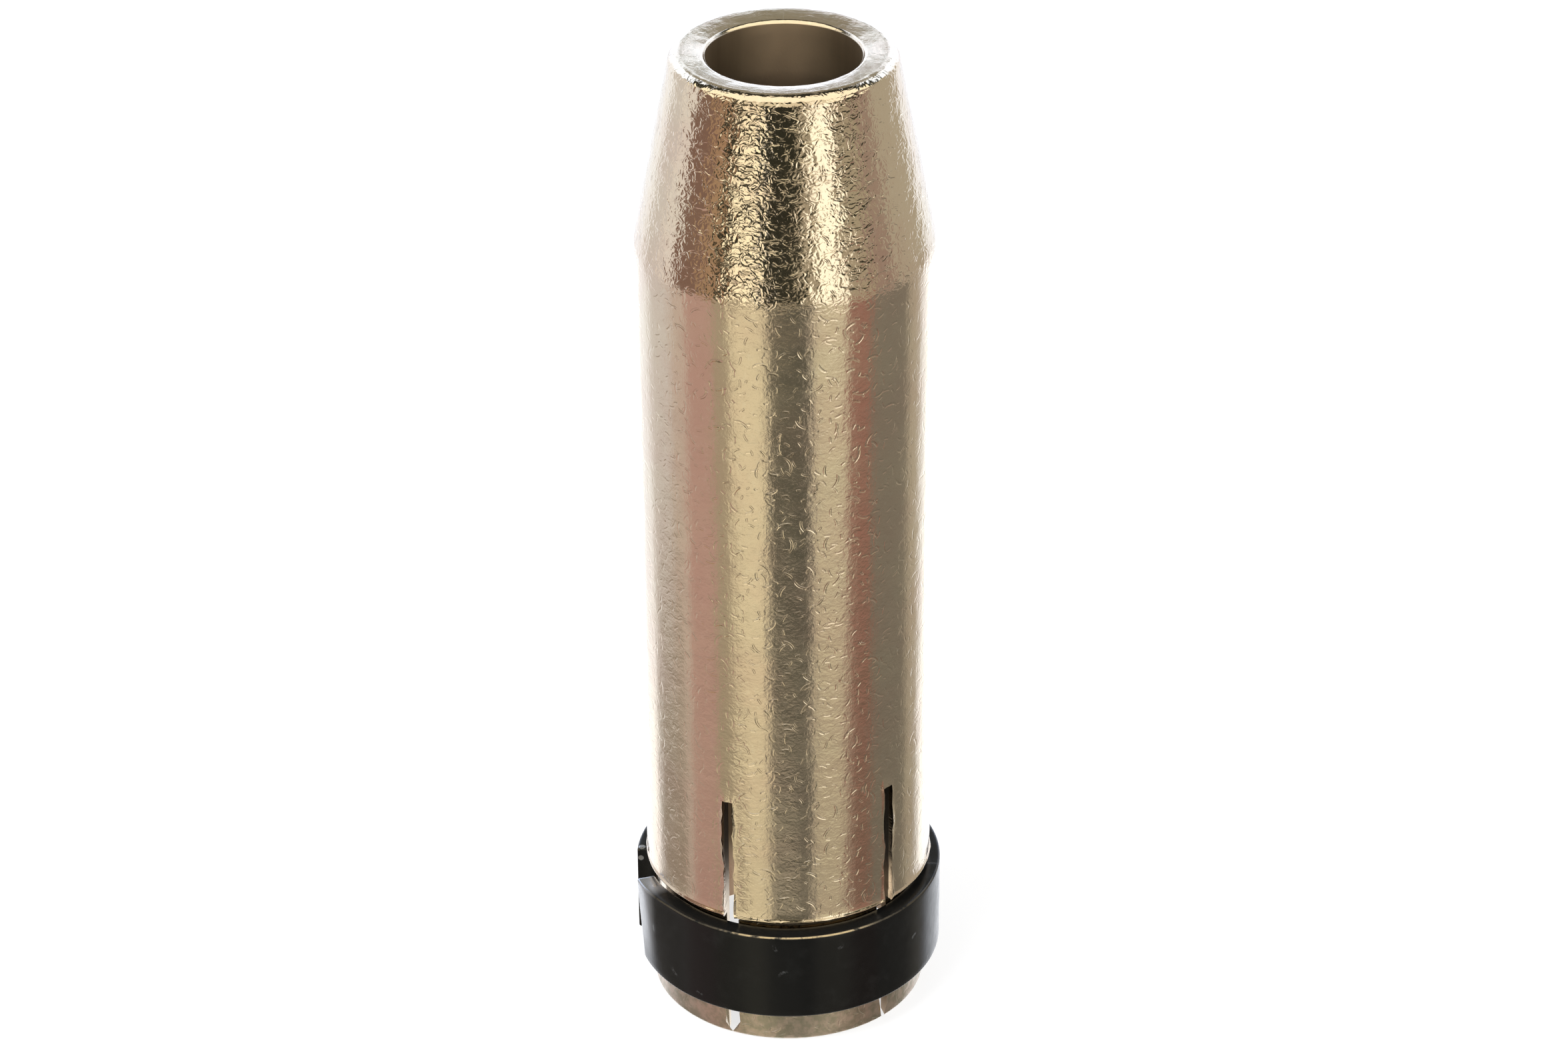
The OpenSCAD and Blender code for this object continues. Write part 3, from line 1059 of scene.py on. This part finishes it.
def studio_world():
    """White for the camera and plain grey light for matt surfaces. Reflections see the walls and
    cards, the ceiling above CEILING, the shade low down and the table under the object."""
    world = bpy.data.worlds.new("studio")
    bpy.context.scene.world = world
    world.use_nodes = True
    s = Shader(world.node_tree)
    direction = s.node("ShaderNodeTexCoord").outputs["Generated"]
    parts = s.node("ShaderNodeSeparateXYZ", {0: direction}).outputs
    forward = s.math("MULTIPLY", parts["Y"], -1.0)
    azimuth = s.math("MULTIPLY", s.math("ARCTAN2", parts["X"], forward), 180 / math.pi)
    height = s.math("MULTIPLY", s.math("ARCSINE", parts["Z"]), 180 / math.pi)
    over = s.math("MULTIPLY", s.math("ARCTAN2", parts["Z"], forward), 180 / math.pi)
    aside = s.math("ABSOLUTE", parts["X"])

    above = s.steps(height, CEILING - EDGE_SOFT, CEILING + EDGE_SOFT)
    colour = s.mix(above, walls(s, azimuth, height), ceiling(s, aside, over, height))
    colour = s.vector("SCALE", colour, scale=s.steps(height, *SHADE_EDGE, SHADE, 1.0))
    colour = s.mix(s.steps(height, *TABLE_EDGE, 1.0, 0.0), colour, TABLE)

    path = s.node("ShaderNodeLightPath").outputs
    plain = s.math("MAXIMUM", path["Is Camera Ray"], path["Is Transmission Ray"])
    seen = s.mix(path["Is Glossy Ray"], grey(MATT_GREY), colour)
    seen = s.mix(plain, seen, WHITE)
    back = s.node("ShaderNodeBackground", {"Color": seen, "Strength": 1.0})
    s.node("ShaderNodeOutputWorld", {"Surface": back.outputs[0]})


def white_floor():
    """A white floor that keeps the object's soft shadow."""
    mesh = bpy.data.meshes.new("floor")
    reach = FLOOR_HALF
    corners = [(-reach, -reach, 0), (reach, -reach, 0), (reach, reach, 0), (-reach, reach, 0)]
    mesh.from_pydata(corners, [], [(0, 1, 2, 3)])
    floor = linked(bpy.data.objects.new("floor", mesh))
    floor.visible_glossy = False
    material = bpy.data.materials.new("floor_white")
    material.use_nodes = True
    s = Shader(material.node_tree)
    path = s.node("ShaderNodeLightPath").outputs
    seen = s.math("MAXIMUM", path["Is Camera Ray"], path["Is Transmission Ray"])
    matte = s.node("ShaderNodeBsdfDiffuse", {"Color": grey(FLOOR_GREY)})
    glowing = s.math("MULTIPLY", seen, FLOOR_GLOW)
    glow = s.node("ShaderNodeEmission", {"Color": WHITE, "Strength": glowing})
    both = s.node("ShaderNodeAddShader", {0: matte.outputs[0], 1: glow.outputs[0]})
    s.node("ShaderNodeOutputMaterial", {"Surface": both.outputs[0]})
    mesh.materials.append(material)


def soft_lamp(name, place, size, power):
    light = bpy.data.lights.new(name, "AREA")
    light.shape = "DISK"
    light.size = size
    light.energy = power
    lamp = linked(bpy.data.objects.new(name, light))
    lamp.location = place
    aim = Vector((0, 0, 0.03)) - Vector(place)
    lamp.rotation_euler = aim.to_track_quat("-Z", "Y").to_euler()
    lamp.visible_glossy = False


def photo_camera():
    """The camera of the photograph: in front of the object, looking down on it."""
    camera = linked(bpy.data.objects.new("camera", bpy.data.cameras.new("camera")))
    camera.data.sensor_width = 36.0
    camera.data.lens = CAMERA_LENS
    camera.data.clip_start = 0.01
    elevation, roll = math.radians(CAMERA_ELEVATION), math.radians(CAMERA_ROLL)
    back = Vector((0, -math.cos(elevation), math.sin(elevation)))
    right = Vector((1, 0, 0))
    up = back.cross(right)
    axes = Matrix((
        right * math.cos(roll) + up * math.sin(roll),
        up * math.cos(roll) - right * math.sin(roll),
        back,
    )).transposed()
    camera.matrix_world = axes.to_4x4()
    camera.location = (CAMERA_TARGET + back * CAMERA_DISTANCE) * MM
    bpy.context.scene.camera = camera


# ================================================================ the scene
photo_camera()
studio_world()
white_floor()
soft_lamp("key", (-0.35, -0.25, 0.75), 0.5, 5.5)
soft_lamp("fill", (0.45, -0.30, 0.60), 0.6, 2.5)

NICKEL_MASKS = {
    "bare": {"bore": 1.0, "end_cut": 1.0},
    "sawn": {"left_cut": 1.0, "right_cut": 1.0},
    # The left cut faces keep their bright metal higher up: painted light.
    "scraped": {"left_cut": 1.0},
    # The sawn walls darken high up, the right ones most: painted shade.
    "sooty": {"left_cut": 0.5, "right_cut": 1.0},
    "tail": {"lip": 1.0, "rear": 1.0},
}
nozzle = make_piece("nozzle_shell", body_mesh(), NICKEL_MASKS, 38)
nozzle.data.materials.append(nickel_material())
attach(nozzle, "nozzle")
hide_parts("nozzle_body")

RING_MASKS = {
    # edge marks the bronze top edge, partly wear and partly a painted highlight.
    "edge": {"top_edge": 1.0, "inner_edge": 0.25},
    # end marks the near end, rubbed bare: partly wear and partly painted glints.
    "end": {"end_face": 0.9, "end_edge": 0.9, "end_top_edge": 1.0, "end_top": 0.8},
}
ring = make_piece("clamp_band", ring_mesh(), RING_MASKS, 40)
ring.data.materials.append(black_material())
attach(ring, "ring")
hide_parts("clamp_ring")

view = bpy.context.scene.view_settings
view.view_transform = "Standard"
